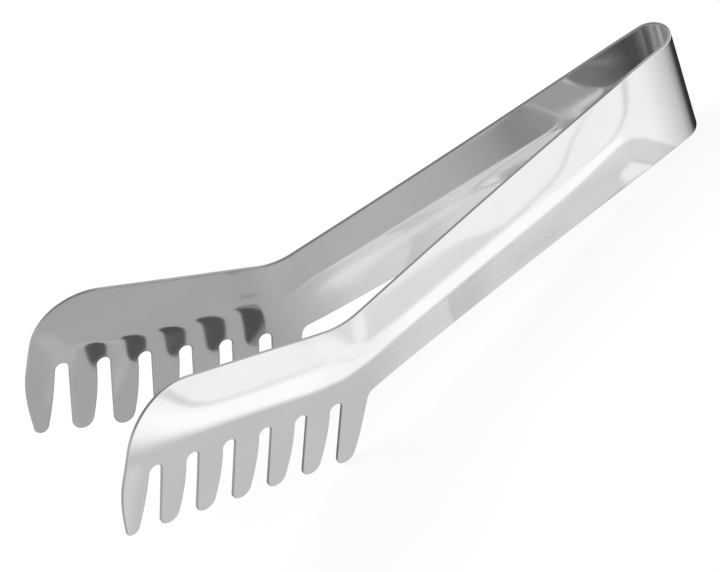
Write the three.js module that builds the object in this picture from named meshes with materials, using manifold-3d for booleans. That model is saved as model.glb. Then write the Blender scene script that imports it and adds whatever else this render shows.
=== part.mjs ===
// Spaghetti tongs made from one strip of polished stainless sheet: a U-shaped spring bow and two ridged
// arms, each ending in a turned-up head with a comb of tines.
// Millimetres, +Z up. The tongs stand on their two heel tines and on the bow's lower edge, with the bow at
// +X, the combs at -X, the left arm at -Y, and the origin on the floor under the middle of the whole.

import * as THREE from 'three';
import { mergeVertices } from 'three/addons/utils/BufferGeometryUtils.js';
import Module from 'manifold-3d';

const wasm = await Module();
wasm.setup();

const { degToRad, lerp, smoothstep } = THREE.MathUtils;

// The sheet
const SHEET = 0.9; // thickness of the steel
const SEAM = 0.3; // gap between neighbouring zones of the sheet

// The bow and the arms, measured along an arm from the bow's centre
const BOW_RADIUS = 5.45; // bend radius at the middle of the sheet
const BOW_WIDTH = 36.3; // width of the strip at the bow
const FLEX_LINE = 8; // end of the bow's flat leg, where the arm flexes
const HANDLE_LENGTH = 118; // from the bow's centre to the heel
const WAIST_WIDTH = 26.9; // width of the strip at the heel
const ARM_SPLAY = 3.8; // degrees between an arm and the middle plane, at the bow
const FLARE_RADIUS = 2500; // the arms curve outward on this radius

// The ridge pressed along each arm
const RIDGE_HEIGHT = 2.4; // along the handle
const RIDGE_START = 12; // where the flat bow starts to rise into the ridge
const RIDGE_RUN_IN = 32; // length over which it rises
const RIDGE_ROUND = 3; // half-width of the rounded top
const RIDGE_RISE = 10.5; // height of the ridge above the heel, square to the head
const HEAD_RIDGE_HEIGHT = 1.8; // of the head's upper flank, before its top is rounded
const SCOOP_ROUND = 12; // half-width of the rounded top at the front of the head
const NECK_BLEND = 9; // half the length over which the handle's ridge turns into the head's

// The head, measured from the heel: along the line of its slots, and square to that line
const HEAD_ANGLE = 29.3; // degrees that the head is turned up from the handle
const HEAD_DEPTH = 23.5; // from the heel to the top edge
const CORNER_RADIUS = 17; // top front corner
const VALLEY_RADIUS = 19; // where the top edge turns from the handle to the head
const HEEL_RADIUS = 2.4; // where the lower edge turns down into the first tine
const NECK_LAND = 2; // straight length of handle edge that stays with the head

// The tines
const TINE_COUNT = 7;
const TINE_PITCH = 12;
const HEEL_SPAN = 11.2; // from the heel to the middle of the first slot
const FRONT_SPAN = 10.2; // from the middle of the last slot to the front edge
const SLOT_WIDTH = 3.9;
const SLOT_DROP = 0.3; // tops of the slots below the heel
const HEEL_TINE_LENGTH = 22.8; // of the tine at the heel, from the tops of the slots to its tip
const FRONT_TINE_LENGTH = 21.5; // of the tine at the front, the others lying between the two
const TIP_WIDTH = 6.2;
const FRONT_TIP_WIDTH = 4.3; // of the tine at the front, which is the narrowest
const FRONT_EASE = 7; // length of the front edge that eases from straight into the last tine's curve
const TINE_RAKE = 6; // degrees that the tines slope back, in the plane of the head
const TINE_BELLY = 10; // degrees round the tip where a tine's bulging rear edge runs into it
const TINE_LEAN = 7; // degrees that the tines and the head's lower flank lean inward

// Fineness of the curved surfaces
const ARC_STEPS = 8;
const HANDLE_STEPS = 18;
const HEAD_STEPS = 16;
const FLANK_STEPS = 10;
const CROWDING = 0.65; // how strongly grid lines crowd towards the ridge, from 0 to 1
const TINE_STEPS = 4;
const TINE_COLUMNS = 2;

const STEEL = { color: 0xc8cacc, roughness: 0.16, metalness: 1 };

// Sizes worked out from the ones above
const splay = degToRad(ARM_SPLAY);
const headTurn = degToRad(HEAD_ANGLE);
const rake = degToRad(TINE_RAKE);
const belly = degToRad(TINE_BELLY);
const heel = new THREE.Vector2(HANDLE_LENGTH, -WAIST_WIDTH / 2);
const headLength = HEEL_SPAN + (TINE_COUNT - 2) * TINE_PITCH + FRONT_SPAN;
const tineRoot = -SLOT_DROP - SLOT_WIDTH / 2;
const edgeSlope = Math.atan((BOW_WIDTH - WAIST_WIDTH) / 2 / (HANDLE_LENGTH - FLEX_LINE));
const valleyReach = VALLEY_RADIUS * Math.tan((headTurn + edgeSlope) / 2);

// Half the width of the strip, u along the arm
function halfWidth(u) {
  return lerp(BOW_WIDTH, WAIST_WIDTH, (u - FLEX_LINE) / (HANDLE_LENGTH - FLEX_LINE)) / 2;
}

// A point of the head in the arm's plane, from its place along the head and square to it
function headPoint(along, square) {
  return new THREE.Vector2(along, square).rotateAround(new THREE.Vector2(), headTurn).add(heel);
}

// The place of a point of the arm's plane along the head and square to it
function placeInHead(u, v) {
  return new THREE.Vector2(u, v).sub(heel).rotateAround(new THREE.Vector2(), -headTurn);
}

// Middle of a slot along the head, slot 0 being the nearest to the heel
function slotMiddle(slot) {
  return HEEL_SPAN + slot * TINE_PITCH;
}

// Height of a roof with a rounded ridge, at a distance above (+) or below (-) the ridge line
function roof(distance, upperSlope, lowerSlope, round) {
  const soft = Math.hypot(distance, round);
  return -(upperSlope * (soft + distance) + lowerSlope * (soft - distance)) / 2;
}

// Outward height of the handle's ridge, nothing at the edges of the strip
function handleCrown(u, v) {
  const half = halfWidth(u);
  const slope = RIDGE_HEIGHT / (Math.hypot(half, RIDGE_ROUND) - RIDGE_ROUND);
  const height = roof(v, slope, slope, RIDGE_ROUND) - roof(half, slope, slope, RIDGE_ROUND);
  return height * smoothstep(u, RIDGE_START, RIDGE_START + RIDGE_RUN_IN);
}

// Outward height of the head's ridge, nothing at the top edge, with the tines leaning inward below it
function headCrown(u, v) {
  const place = placeInHead(u, v);
  const upperFlank = HEAD_DEPTH - RIDGE_RISE;
  const upperSlope = HEAD_RIDGE_HEIGHT / upperFlank;
  const lowerSlope = Math.tan(degToRad(TINE_LEAN));
  const round = lerp(RIDGE_ROUND, SCOOP_ROUND, smoothstep(place.x, 0, headLength));
  const height = roof(place.y - RIDGE_RISE, upperSlope, lowerSlope, round);
  return height - roof(upperFlank, upperSlope, lowerSlope, round);
}

// How far the middle of the sheet stands outward from the arm's plane
function outward(u, v) {
  const inHead = smoothstep(u, HANDLE_LENGTH - NECK_BLEND, HANDLE_LENGTH + NECK_BLEND);
  const flare = u * u / (2 * FLARE_RADIUS);
  return lerp(handleCrown(u, v), headCrown(u, v), inHead) + flare;
}

// The middle of the sheet at (u, v) of an arm whose outward side is +1 or -1 in local z
function pressed(u, v, side) {
  return new THREE.Vector3(u, v, side * outward(u, v));
}

// A shift of -1 to 1 that crowds grid lines towards the middle, where the ridge is
function crowded(share) {
  const shift = 2 * share - 1;
  return lerp(shift, shift ** 3, CROWDING);
}

// A closed sheet about a curved middle surface, which is a function of two shares from 0 to 1
function sheetSolid(middle, columns, rows) {
  const nudge = 1e-4;
  const positions = [];
  for (const face of [1, -1]) {
    for (let i = 0; i <= columns; i++) {
      for (let j = 0; j <= rows; j++) {
        const [s, t] = [i / columns, j / rows];
        const along = middle(s + nudge, t).sub(middle(s - nudge, t));
        const across = middle(s, t + nudge).sub(middle(s, t - nudge));
        const normal = along.cross(across).normalize();
        positions.push(...middle(s, t).addScaledVector(normal, face * SHEET / 2).toArray());
      }
    }
  }
  const layer = (columns + 1) * (rows + 1);
  const top = (i, j) => i * (rows + 1) + j;
  const bottom = (i, j) => layer + top(i, j);
  const triangles = [];
  const quad = (a, b, c, d) => triangles.push(a, b, c, a, c, d);
  for (let i = 0; i < columns; i++) {
    for (let j = 0; j < rows; j++) {
      quad(top(i, j), top(i + 1, j), top(i + 1, j + 1), top(i, j + 1));
      quad(bottom(i, j), bottom(i, j + 1), bottom(i + 1, j + 1), bottom(i + 1, j));
    }
    quad(bottom(i, 0), bottom(i + 1, 0), top(i + 1, 0), top(i, 0));
    quad(top(i, rows), top(i + 1, rows), bottom(i + 1, rows), bottom(i, rows));
  }
  for (let j = 0; j < rows; j++) {
    quad(top(0, j), top(0, j + 1), bottom(0, j + 1), bottom(0, j));
    quad(bottom(columns, j), bottom(columns, j + 1), top(columns, j + 1), top(columns, j));
  }
  const geometry = new THREE.BufferGeometry();
  geometry.setAttribute('position', new THREE.Float32BufferAttribute(positions, 3));
  geometry.setIndex(triangles);
  return geometry;
}

function toSolid(geometry) {
  const bare = geometry.clone();
  bare.deleteAttribute('normal');
  bare.deleteAttribute('uv');
  const merged = mergeVertices(bare);
  const vertProperties = Float32Array.from(merged.attributes.position.array);
  const triVerts = Uint32Array.from(merged.index.array);
  return new wasm.Manifold(new wasm.Mesh({ numProp: 3, vertProperties, triVerts }));
}

function toGeometry(solid) {
  const mesh = solid.getMesh();
  const geometry = new THREE.BufferGeometry();
  geometry.setAttribute('position', new THREE.BufferAttribute(mesh.vertProperties, 3));
  geometry.setIndex(new THREE.BufferAttribute(mesh.triVerts, 1));
  return geometry;
}

// A prism through the whole depth of the pressed sheet, which is far less than the strip is wide
function punch(shape) {
  const settings = { depth: 2 * BOW_WIDTH, bevelEnabled: false, curveSegments: ARC_STEPS };
  return toSolid(new THREE.ExtrudeGeometry(shape, settings).translate(0, 0, -BOW_WIDTH));
}

// An outline of straight edges, each corner given as a point and the radius that rounds it, the first sharp
function roundedOutline(corners) {
  const shape = new THREE.Shape();
  shape.moveTo(...corners[0][0]);
  corners.forEach(([corner, radius], i) => {
    const [before, radiusBefore] = corners.at(i - 1);
    const [after, radiusAfter] = corners[(i + 1) % corners.length];
    const back = before.clone().sub(corner);
    const ahead = after.clone().sub(corner);
    if (radius === 0) {
      shape.lineTo(corner.x, corner.y);
      return;
    }
    const halfAngle = back.angleTo(ahead) / 2;
    const roomBack = back.length() / (radiusBefore > 0 ? 2 : 1);
    const roomAhead = ahead.length() / (radiusAfter > 0 ? 2 : 1);
    const reach = Math.min(radius / Math.tan(halfAngle), roomBack, roomAhead);
    const start = back.clone().setLength(reach);
    const end = ahead.clone().setLength(reach);
    const centre = start.clone().add(end).setLength(reach / Math.cos(halfAngle));
    const startAngle = start.sub(centre).angle();
    const endAngle = end.sub(centre).angle();
    const rightTurn = back.cross(ahead) > 0;
    centre.add(corner);
    shape.absarc(centre.x, centre.y, reach * Math.tan(halfAngle), startAngle, endAngle, rightTurn);
  });
  shape.closePath();
  return shape;
}

// The flat U bend with its two short legs, seen from above
function bowGeometry() {
  const legLength = FLEX_LINE - SEAM / 2;
  const legAngle = Math.PI / 2 - splay;
  const outer = BOW_RADIUS + SHEET / 2;
  const inner = BOW_RADIUS - SHEET / 2;
  const legEnd = (radius, side) => new THREE.Vector2(
    radius * Math.sin(splay) - legLength * Math.cos(splay),
    side * (radius * Math.cos(splay) + legLength * Math.sin(splay)),
  );
  const shape = new THREE.Shape();
  shape.moveTo(...legEnd(inner, -1));
  shape.lineTo(...legEnd(outer, -1));
  shape.absarc(0, 0, outer, -legAngle, legAngle, false);
  shape.lineTo(...legEnd(outer, 1));
  shape.lineTo(...legEnd(inner, 1));
  shape.absarc(0, 0, inner, legAngle, -legAngle, true);
  shape.closePath();
  const settings = { depth: BOW_WIDTH, bevelEnabled: false, curveSegments: 2 * ARC_STEPS };
  return new THREE.ExtrudeGeometry(shape, settings).translate(0, 0, -BOW_WIDTH / 2);
}

// Where the top edge of the handle meets the top edge of the head
function valleyCorner() {
  const middle = (BOW_WIDTH + WAIST_WIDTH) / 4;
  const edgeStart = new THREE.Vector2((FLEX_LINE + HANDLE_LENGTH) / 2, middle);
  const edgeDirection = new THREE.Vector2(Math.cos(edgeSlope), -Math.sin(edgeSlope));
  const square = placeInHead(edgeStart.x, edgeStart.y).y;
  const fall = Math.sin(headTurn + edgeSlope);
  return edgeStart.addScaledVector(edgeDirection, (square - HEAD_DEPTH) / fall);
}

const valley = valleyCorner();
const neckLine = valley.x - valleyReach - NECK_LAND;

// The ridged handle, from the flex line to the neck
function gripGeometry(side) {
  const middle = (s, t) => {
    const u = lerp(FLEX_LINE + SEAM / 2, neckLine - SEAM / 2, s);
    return pressed(u, crowded(t) * halfWidth(u), side);
  };
  return sheetSolid(middle, HANDLE_STEPS, FLANK_STEPS);
}

// The head above the tines, with the round tops of the slots cut into its lower edge
function combPlateGeometry(side) {
  const margin = 2 * SHEET;
  const neckFoot = new THREE.Vector2(neckLine + SEAM / 2, -halfWidth(neckLine + SEAM / 2));
  const neckTop = new THREE.Vector2(neckFoot.x, -neckFoot.y);
  const rear = Math.min(placeInHead(...neckFoot).x, placeInHead(...neckTop).x) - margin;
  const rise = placeInHead(...neckTop).y - RIDGE_RISE + margin;
  const fall = RIDGE_RISE - tineRoot + margin;
  const middle = (s, t) => {
    const shift = crowded(t);
    const square = RIDGE_RISE + shift * (shift > 0 ? rise : fall);
    const point = headPoint(lerp(rear, headLength + margin, s), square);
    return pressed(point.x, point.y, side);
  };
  const outline = roundedOutline([
    [neckFoot, 0],
    [heel, HEEL_RADIUS],
    [headPoint(0, tineRoot + SEAM / 2), 0],
    [headPoint(headLength, tineRoot + SEAM / 2), 0],
    [headPoint(headLength, HEAD_DEPTH), CORNER_RADIUS],
    [valley, VALLEY_RADIUS],
    [neckTop, 0],
  ]);
  let plate = toSolid(sheetSolid(middle, HEAD_STEPS, FLANK_STEPS)).intersect(punch(outline));
  for (let slot = 0; slot < TINE_COUNT - 1; slot++) {
    const centre = headPoint(slotMiddle(slot), tineRoot);
    const round = new THREE.Shape().absarc(centre.x, centre.y, SLOT_WIDTH / 2, 0, 2 * Math.PI, false);
    plate = plate.subtract(punch(round));
  }
  return toGeometry(plate);
}

// Length of a tine, tine 0 being the nearest to the heel
function tineLength(tine) {
  return lerp(HEEL_TINE_LENGTH, FRONT_TINE_LENGTH, tine / (TINE_COUNT - 1));
}

function tipRadius(tine) {
  return (tine === TINE_COUNT - 1 ? FRONT_TIP_WIDTH : TIP_WIDTH) / 2;
}

// Centre of the round tip of a tine
function tipCentre(tine) {
  const reach = tineLength(tine) - tipRadius(tine);
  const along = slotMiddle(tine) - TINE_PITCH / 2 - reach * Math.sin(rake);
  return headPoint(along, -SLOT_DROP - reach * Math.cos(rake));
}

// One tapered tine with a bulging rear edge and a round tip, the last with a front edge that curves on from
// the head
function tineGeometry(tine, side) {
  const top = tineRoot - SEAM / 2;
  const rearEdge = tine === 0 ? 0 : slotMiddle(tine - 1) + SLOT_WIDTH / 2;
  const frontEdge = tine === TINE_COUNT - 1 ? headLength : slotMiddle(tine) - SLOT_WIDTH / 2;
  const rootFront = headPoint(frontEdge, top);
  const rootRear = headPoint(rearEdge, top);
  const tip = tipCentre(tine);
  const radius = tipRadius(tine);
  const axisAngle = headTurn - rake - Math.PI / 2;
  const shape = new THREE.Shape();
  shape.moveTo(rootFront.x, rootFront.y);
  shape.lineTo(rootRear.x, rootRear.y);
  const meetAngle = axisAngle - Math.PI / 2 + belly;
  const outFromTip = new THREE.Vector2(Math.cos(meetAngle), Math.sin(meetAngle));
  const meet = tip.clone().addScaledVector(outFromTip, radius);
  const backAlongEdge = new THREE.Vector2(outFromTip.y, -outFromTip.x);
  const bulge = meet.clone().addScaledVector(backAlongEdge, meet.distanceTo(rootRear) / 2);
  shape.quadraticCurveTo(bulge.x, bulge.y, meet.x, meet.y);
  shape.absarc(tip.x, tip.y, radius, meetAngle, axisAngle + Math.PI / 2, false);
  if (tine === TINE_COUNT - 1) {
    const eased = headPoint(frontEdge, top - FRONT_EASE);
    shape.quadraticCurveTo(eased.x, eased.y, rootFront.x, rootFront.y);
  }
  shape.closePath();
  const margin = 2 * radius;
  const middle = (s, t) => {
    const along = lerp(rearEdge, frontEdge, s) + lerp(-margin, margin, s);
    const point = headPoint(along, lerp(top - tineLength(tine) - margin, top + margin, t));
    return pressed(point.x, point.y, side);
  };
  return toGeometry(toSolid(sheetSolid(middle, TINE_COLUMNS, TINE_STEPS)).intersect(punch(shape)));
}

function piece(name, geometry) {
  geometry.computeVertexNormals();
  const mesh = new THREE.Mesh(geometry, new THREE.MeshStandardMaterial(STEEL));
  mesh.name = name;
  return mesh;
}

// An arm in its own plane: local x along the arm, local y up the strip, local z across to +Y
function arm(name, side) {
  const group = new THREE.Group();
  group.add(piece(`${name}_grip`, gripGeometry(side)));
  group.add(piece(`${name}_comb_plate`, combPlateGeometry(side)));
  for (let tine = 0; tine < TINE_COUNT; tine++) {
    group.add(piece(`${name}_tine_${tine + 1}`, tineGeometry(tine, side)));
  }
  const along = new THREE.Vector3(-Math.cos(splay), side * Math.sin(splay), 0);
  const up = new THREE.Vector3(0, 0, 1);
  const across = along.clone().cross(up);
  group.setRotationFromMatrix(new THREE.Matrix4().makeBasis(along, up, across));
  group.position.set(BOW_RADIUS * Math.sin(splay), side * BOW_RADIUS * Math.cos(splay), 0);
  return group;
}

// Slope of the floor that touches the bow's lower edge and the round tips of the heel tines
function standingPitch() {
  const tip = tipCentre(0);
  const tipX = (BOW_RADIUS + outward(tip.x, tip.y)) * Math.sin(splay) - tip.x * Math.cos(splay);
  const run = BOW_RADIUS + SHEET / 2 - tipX;
  const rise = -BOW_WIDTH / 2 - tip.y;
  return Math.atan2(rise, run) + Math.asin(tipRadius(0) / Math.hypot(rise, run));
}

const tongs = new THREE.Group();
tongs.add(piece('spring_bow', bowGeometry()), arm('left', -1), arm('right', 1));
tongs.rotation.y = standingPitch();
tongs.updateMatrixWorld(true);
const box = new THREE.Box3().setFromObject(tongs, true);
const middle = box.getCenter(new THREE.Vector3());
tongs.position.set(-middle.x, -middle.y, -box.min.z);

export default tongs;
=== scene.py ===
# Spaghetti tongs bent from one strip of polished stainless sheet, dressed around the imported frame.
# The strip is one smooth sheet here, in two halves that meet at the top of the bow.
# Sizes are in millimetres and degrees, as in the part's own source, until a mesh, a lamp or a node is made.

import math

import bpy
import numpy as np
from mathutils import Matrix, Vector
from mathutils.geometry import delaunay_2d_cdt


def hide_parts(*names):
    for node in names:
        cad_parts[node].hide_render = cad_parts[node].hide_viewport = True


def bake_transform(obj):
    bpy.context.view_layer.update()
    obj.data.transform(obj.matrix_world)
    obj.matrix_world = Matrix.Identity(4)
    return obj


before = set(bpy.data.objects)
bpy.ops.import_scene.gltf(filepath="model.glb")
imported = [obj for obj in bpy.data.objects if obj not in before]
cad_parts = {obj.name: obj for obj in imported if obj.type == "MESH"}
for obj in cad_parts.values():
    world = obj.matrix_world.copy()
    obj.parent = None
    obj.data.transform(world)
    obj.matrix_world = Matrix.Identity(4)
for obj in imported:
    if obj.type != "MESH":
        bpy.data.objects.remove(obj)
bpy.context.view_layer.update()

MM = 0.001

# The sheet
SHEET = 0.9
RIM_ROUND = 0.3  # radius that takes the sharpness off the cut edges
RIM_INSET = 0.02  # keeps the smooth outline inside the facets of the solids
RIM_WEAR = 1.4  # width of the burnished band along the cut edges
EDGE_HIGHLIGHT_END = (10, 20)  # where the painted highlight that keeps the left arm's top edge bright beside the bow ends

# The bow and the arms
BOW_RADIUS = 5.45
BOW_WIDTH = 36.3
FLEX_LINE = 8
HANDLE_LENGTH = 118
WAIST_WIDTH = 26.9
ARM_SPLAY = math.radians(3.8)
FLARE_RADIUS = 2500
EDGE_EASE = 6  # length over which the bow's straight edges turn into the tapering handle
EDGE_GAUGE = (40, 100)  # places between which the handle's upper edge is taken as straight
HEEL_GAUGE = 20  # length before the heel over which the lower edge is taken as straight

# The ridge pressed along each arm
RIDGE_HEIGHT = 2.4
RIDGE_START = 12
RIDGE_RUN_IN = 32
RIDGE_ROUND = 3
RIDGE_RISE = 10.5
HEAD_RIDGE_HEIGHT = 1.8
SCOOP_ROUND = 12
NECK_BLEND = 9

# The head and its tines
HEAD_ANGLE = math.radians(29.3)
HEAD_DEPTH = 23.5
CORNER_RADIUS = 17
VALLEY_RADIUS = 19
HEEL_RADIUS = 2.4
TINE_COUNT = 7
TINE_PITCH = 12
HEEL_SPAN = 11.2
FRONT_SPAN = 10.2
SLOT_WIDTH = 3.9
SLOT_DROP = 0.3
HEEL_TINE_LENGTH = 22.8
FRONT_TINE_LENGTH = 21.5
TIP_RADIUS = 3.1
FRONT_TIP_RADIUS = 2.15
FRONT_EASE = 7
TINE_RAKE = math.radians(6)
TINE_BELLY = math.radians(10)  # how far round the tip a tine's bulging rear edge runs into it
TINE_LEAN = math.radians(7)

# How both heads' inner faces lean, in their shading only: degrees by place along the head
DISH_YAW = [(0, 3.5), (15, 3), (40, 1.5), (63, 0.3)]
DISH_LEAN = [(15, 0), (63, 5), (66, 3.5), (70, 0)]
DISH_TOP = [(15, 10.5), (28, 7.5), (40, 6.5), (65, 5.5)]  # how far above the slots the face turns back
DISH_TURN_BACK = [(60, 1.5), (70, 0)]
DISH_SOFT = 2
DISH_FADE = 6

# How the tongs stand: the floor's slope against the arms in radians, and the place of the bow's centre
STAND_PITCH = 0.10451791
STAND_PLACE = np.array([92.3257, 0, 18.6665])

# Fineness of the meshes
BOW_STEP = 0.45
BOW_STEP_END = 2  # how far along the legs the bow's fine mesh goes
ARM_STEP = 1.25
CURVE_STEP = 0.4
SHALLOW_STEP = 0.8  # along the tines' long edges
LEAST_ARC_STEPS = 4
RIM_ANGLES = (30, 60, 90)
RIM_GAP = 0.55  # least gap from the rim to the points inside, in steps
RUN_GAP = 0.05  # runs of the outline that end closer than this share a point
INSIDE_ONLY = 1  # keeps only the triangles inside the border
SAME_POINT = 1e-7

# The steel: tones of grey, some of them painted shade, roughness added by each cause, and places along the
# strip
BRIGHT_TONES = (0.84, 0.88)
# painted shade: the heads' inner faces, which face each other between the combs, take a darker grey
INNER_SHADE_TONES = (0.58, 0.62)  # the heads' inner faces
SHEARED_TONES = (0.42, 0.48)  # the cut edges
# painted shade: the inside of the bow, where the sheet curls in, takes a darker grey
BOW_INSIDE_SHADE_TONE = 0.66  # the inside of the bow
INNER_SHADE_START = (102, 126)
BEND_START = (-6.8, -5.6)
BEND_END = (-1, 4)
CLOUDS = (60, 4, 1)  # features in a metre, detail, and how much finer across the strip than along it
GRAIN = (500, 3, 14)
SCRATCHES = (260, 6, 40)
NOISE_RANGE = (0.3, 0.7)
TONE_RANGE = (0.25, 0.75)
CLOUD_ROUGHNESS = (0.05, 0.075)
GRAIN_ROUGHNESS = (-0.005, 0.01)
RIM_ROUGHNESS = 0.04
CUT_ROUGHNESS = 0.2
BEND_ROUGHNESS = 0.13
SMOOTH_AGAIN = (2, 12)  # where the inside of the bow turns smooth
BUMP_STRENGTH = (0.035, 0.012)  # on the outer and the inner face
BUMP_DEPTH = 0.06
GRAIN_SHARE = 0.5
SCRATCH_SHARE = 0.5

# The camera, from a fit of the strip's outline to the photograph: place and axes in the tongs' own frame
CAMERA_LENS = 169.785
CAMERA_SENSOR = 36
CAMERA_PLACE = np.array([-295.56, -596.28, 656.88])
CAMERA_RIGHT = np.array([0.795, -0.546, -0.265])
CAMERA_VIEW = np.array([0.213, 0.659, -0.721])
CAMERA_CLIP = 10

# The floor, and the painted shade round the object that the metal shows on it
FLOOR_SIZE = 6000
FLOOR_DROP = 0.3  # gap between the floor and the object, which leaves room for the cards
FLOOR_TONE = 0.9
FLOOR_WHITE_SHARE = 0.9
SHADE_REACH = 120
SHADE_SAMPLES = 12
SHADE_DEPTH = 1.2
SHADE_GAIN = 1.25
# deeper painted shade under the combs: the floor's level there in the metal, and the places along it where
# it fades
COMB_LEVEL = 0.78
COMB_SHADE = (-50, 20)

# The cards that paint reflections and shade into the metal only, and their heights where they lie on each
# other
CARD_HEIGHTS = {
    "comb_floor": -0.1,
    "bow_patch": -0.05,
    "front_tine_card": -0.05,
    "white_card": 0,
    "under_arm": 0.02,
    "ridge_band": 0.05,
    "comb_shadow": 0.05,
    "wedge_card": 0.1,
    "glint_card": 0.1,
    "between_floor": 0.15,
    "bow_line": 0.15,
    "flank_line": 0.15,
    "head_line": 0.15,
    "flank_dip": 0.15,
    "bow_wedge": 0.2,
    "far_shade": 0.2,
    "near_foot": 0.2,
    "flank_film": 0.22,
    "gleam_card": 0.24,
    "bow_flag": 0.25,
}
CARD_STEP = 3  # distance on the metal between the columns of a card

# Painted reflections, highlights and shade on the near arm: places along and across the strip, or along and
# square to the head
WHITE_FOOT = [(5, -18, 0.6), (10, -11, 0.6), (14, -6, 0.6), (18, -2.6, 0.6), (24, -1.3, 0.6),
              (60, -1.6, 0.6), (112, -1.3, 0.8)]
WHITE_HEAD_FOOT = [(10.8, 8.4, 0.8), (18, 7, 0.8), (40, 6.9, 1), (60, 6.8, 1.6), (76, 7.4, 3), (83, 8.5, 4)]
WHITE_FADE = [(0, 1), (0.2, 1), (0.4, 0.72), (1, 0.5)]  # share of the way out over the floor, and level
WHITE_REACH = 600
WHITE_SPREAD = 5  # how much longer the white card is at its outer end
PAST_BOW = np.array([98, -3])  # the white card's end on the floor past the bow
RIDGE_BAND = [(19, -1.4, 0.6, 0.6, 1.12), (30, -1.3, 2, 0.6, 1.12), (36, -1.4, 2.4, 0.6, 1.12),
              (60, -1.6, 3, 0.6, 1.12), (100, -1.4, 3.3, 0.6, 1.12), (112, -1.3, 3.3, 0.8, 1.04)]
HEAD_BAND = [(10.8, 8.4, 14, 0.8, 1.04), (22, 7, 13.2, 0.8, 1.12), (40, 6.9, 12.8, 1, 1.12),
             (58, 7, 12.8, 1.4, 1.12), (67, 8, 15.5, 2, 1.12), (76, 10.5, 19.5, 3, 1.12),
             (83, 13, 22, 3.5, 1.12)]
WEDGE = [(54, 4, 4.6), (64, 3.9, 5), (70, 3.8, 7), (76, 3.8, 9.6), (83, 3.8, 11.2), (92, 3.8, 12),
         (103, 3.9, 12.8), (107, 4.2, 14.8), (113.9, 4.6, 14.8), (114.1, 4.6, 14.8)]
WEDGE_FINISH = (0.6, 0.81)  # feather and level
GLINT = [(11.5, -19, -18.8), (16, -19, -15.2), (18, -19, -12.8), (20, -19, -10.6), (23.5, -19, -11),
         (26.5, -19, -12.5)]
GLINT_FINISH = (0.8, 0.95)
BOW_PATCH = [(4, -19, 12.5, -19), (9, -12.5, 17, -11.5), (13.5, -6.5, 21, -6), (18, -2.6, 24, -1.8)]
BOW_PATCH_FINISH = (0.4, 0.75)
FRONT_TINE = [(75, -24, 2), (77.5, -24, 2), (84, -24, 2), (86, -24, 2)]
FRONT_TINE_FINISH = (1.5, 0.7)
BOW_LINE = [(14.6, 18.2, 2, 0.74), (15.4, 14, 2, 0.74), (16.2, 10, 1.8, 0.75), (17.6, 6.6, 1.5, 0.76),
            (20, 4, 1.2, 0.8), (24, 2.5, 1, 0.85), (31, 2.5, 0.8, 0.92), (38, 3.4, 0.8, 1)]
FLANK_LINE = [(24, 18.2, 1.2, 0.9), (30, 15.6, 1.4, 0.87), (35, 12.6, 1.6, 0.85), (39, 9.4, 1.6, 0.84),
              (42.5, 6.8, 1.5, 0.83), (47, 5.5, 1.3, 0.83), (54, 5, 1, 0.82), (62, 4.6, 0.6, 0.82)]
LINE_FEATHER = 0.5
HEAD_LINE = [(12, 15.2, 0.8, 0.94), (28, 14, 1, 0.9), (44, 13.4, 1, 0.88), (56, 13.6, 1.1, 0.84),
             (62, 15, 1.6, 0.79), (66, 17.4, 2.2, 0.75), (70, 20.2, 2.4, 0.75), (74, 22.5, 2.4, 0.78)]
HEAD_LINE_FEATHER = 0.4
FLANK_DIP = [(70, 1), (78, 0.88), (86.7, 0.85), (87.6, 1)]
FLANK_DIP_ROWS = (-17, -3, -1.5)
FLAG_FADE = [(-7, 0.02), (-2.6, 0.04), (-2, 0.14), (-1, 0.39), (0, 0.52), (1, 0.63), (3, 0.73), (8, 0.94),
             (11, 1)]
FLAG_STEP = 0.5
FLAG_OVER = 2  # how far the flag reaches past the bow's upper edge

# Cards of painted light and shade given by their places on the floor: along it, across it, and then covers
# or levels
BETWEEN_FLOOR = [(97, 3, 0.07), (90, 5, 0.11), (84, 5.8, 0.19), (79, 7.5, 0.24), (75, 8.5, 0.26),
                 (70, 9.5, 0.27), (63, 11, 0.33), (59, 11.5, 0.31), (54, 11, 0.27), (46, 10, 0.36),
                 (32, 9.8, 0.45), (16, 10.8, 0.48), (-10, 13, 0.48), (-28, 14.5, 0.6), (-34, 15, 0.6)]
BETWEEN_FEATHER = 1.5
BOW_WEDGE = [(77, 6, 9, 0), (74, 3, 9, 1), (69, 3, 10, 1), (65, -1, 10, 1), (61.5, -4, 10, 1),
             (58, -5, 10, 0)]
BOW_WEDGE_FEATHER = 1
BOW_WEDGE_LEVEL = 0.42
UNDER_ARM = [(56, 8, 10, 0), (50, 8.5, 11, 1), (40, 9.2, 13, 1), (28, 10, 14.5, 1), (14, 11.2, 16.5, 1),
             (-2, 12.6, 18, 1), (-14, 13.8, 20, 0)]
UNDER_ARM_FADE = 2
UNDER_ARM_LEVEL = 0.74
COMB_FLOOR = [(-8, 38, 0), (-27, 47, 1), (-62, 72, 1), (-110, 108, 1)]
COMB_FLOOR_LEVEL = 0.6
COMB_SHADOW = [(-29, 1, 9), (-36, -5, 13), (-41, -9, 17), (-48, -10, 21), (-66, -15, 31), (-81, -21, 49),
               (-95, -27, 89), (-112, -34, 104)]
COMB_SHADOW_FEATHER = 1
COMB_SHADOW_LEVEL = 0.2
FAR_SHADE = [(56, 25, 0), (53, 27, 1), (50, 30, 1), (46.5, 33, 1), (43, 35.5, 1), (40.5, 38, 0)]
FAR_SHADE_FEATHER = 2
FAR_SHADE_LEVEL = 0.4
FAR_SHADE_END = 70
NEAR_FOOT = [(71, 0), (67, 1), (51, 1), (45, 0)]
NEAR_FOOT_REACH = (-10.2, -10.9, -15, -17)
NEAR_FOOT_LEVEL = 0.72
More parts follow.
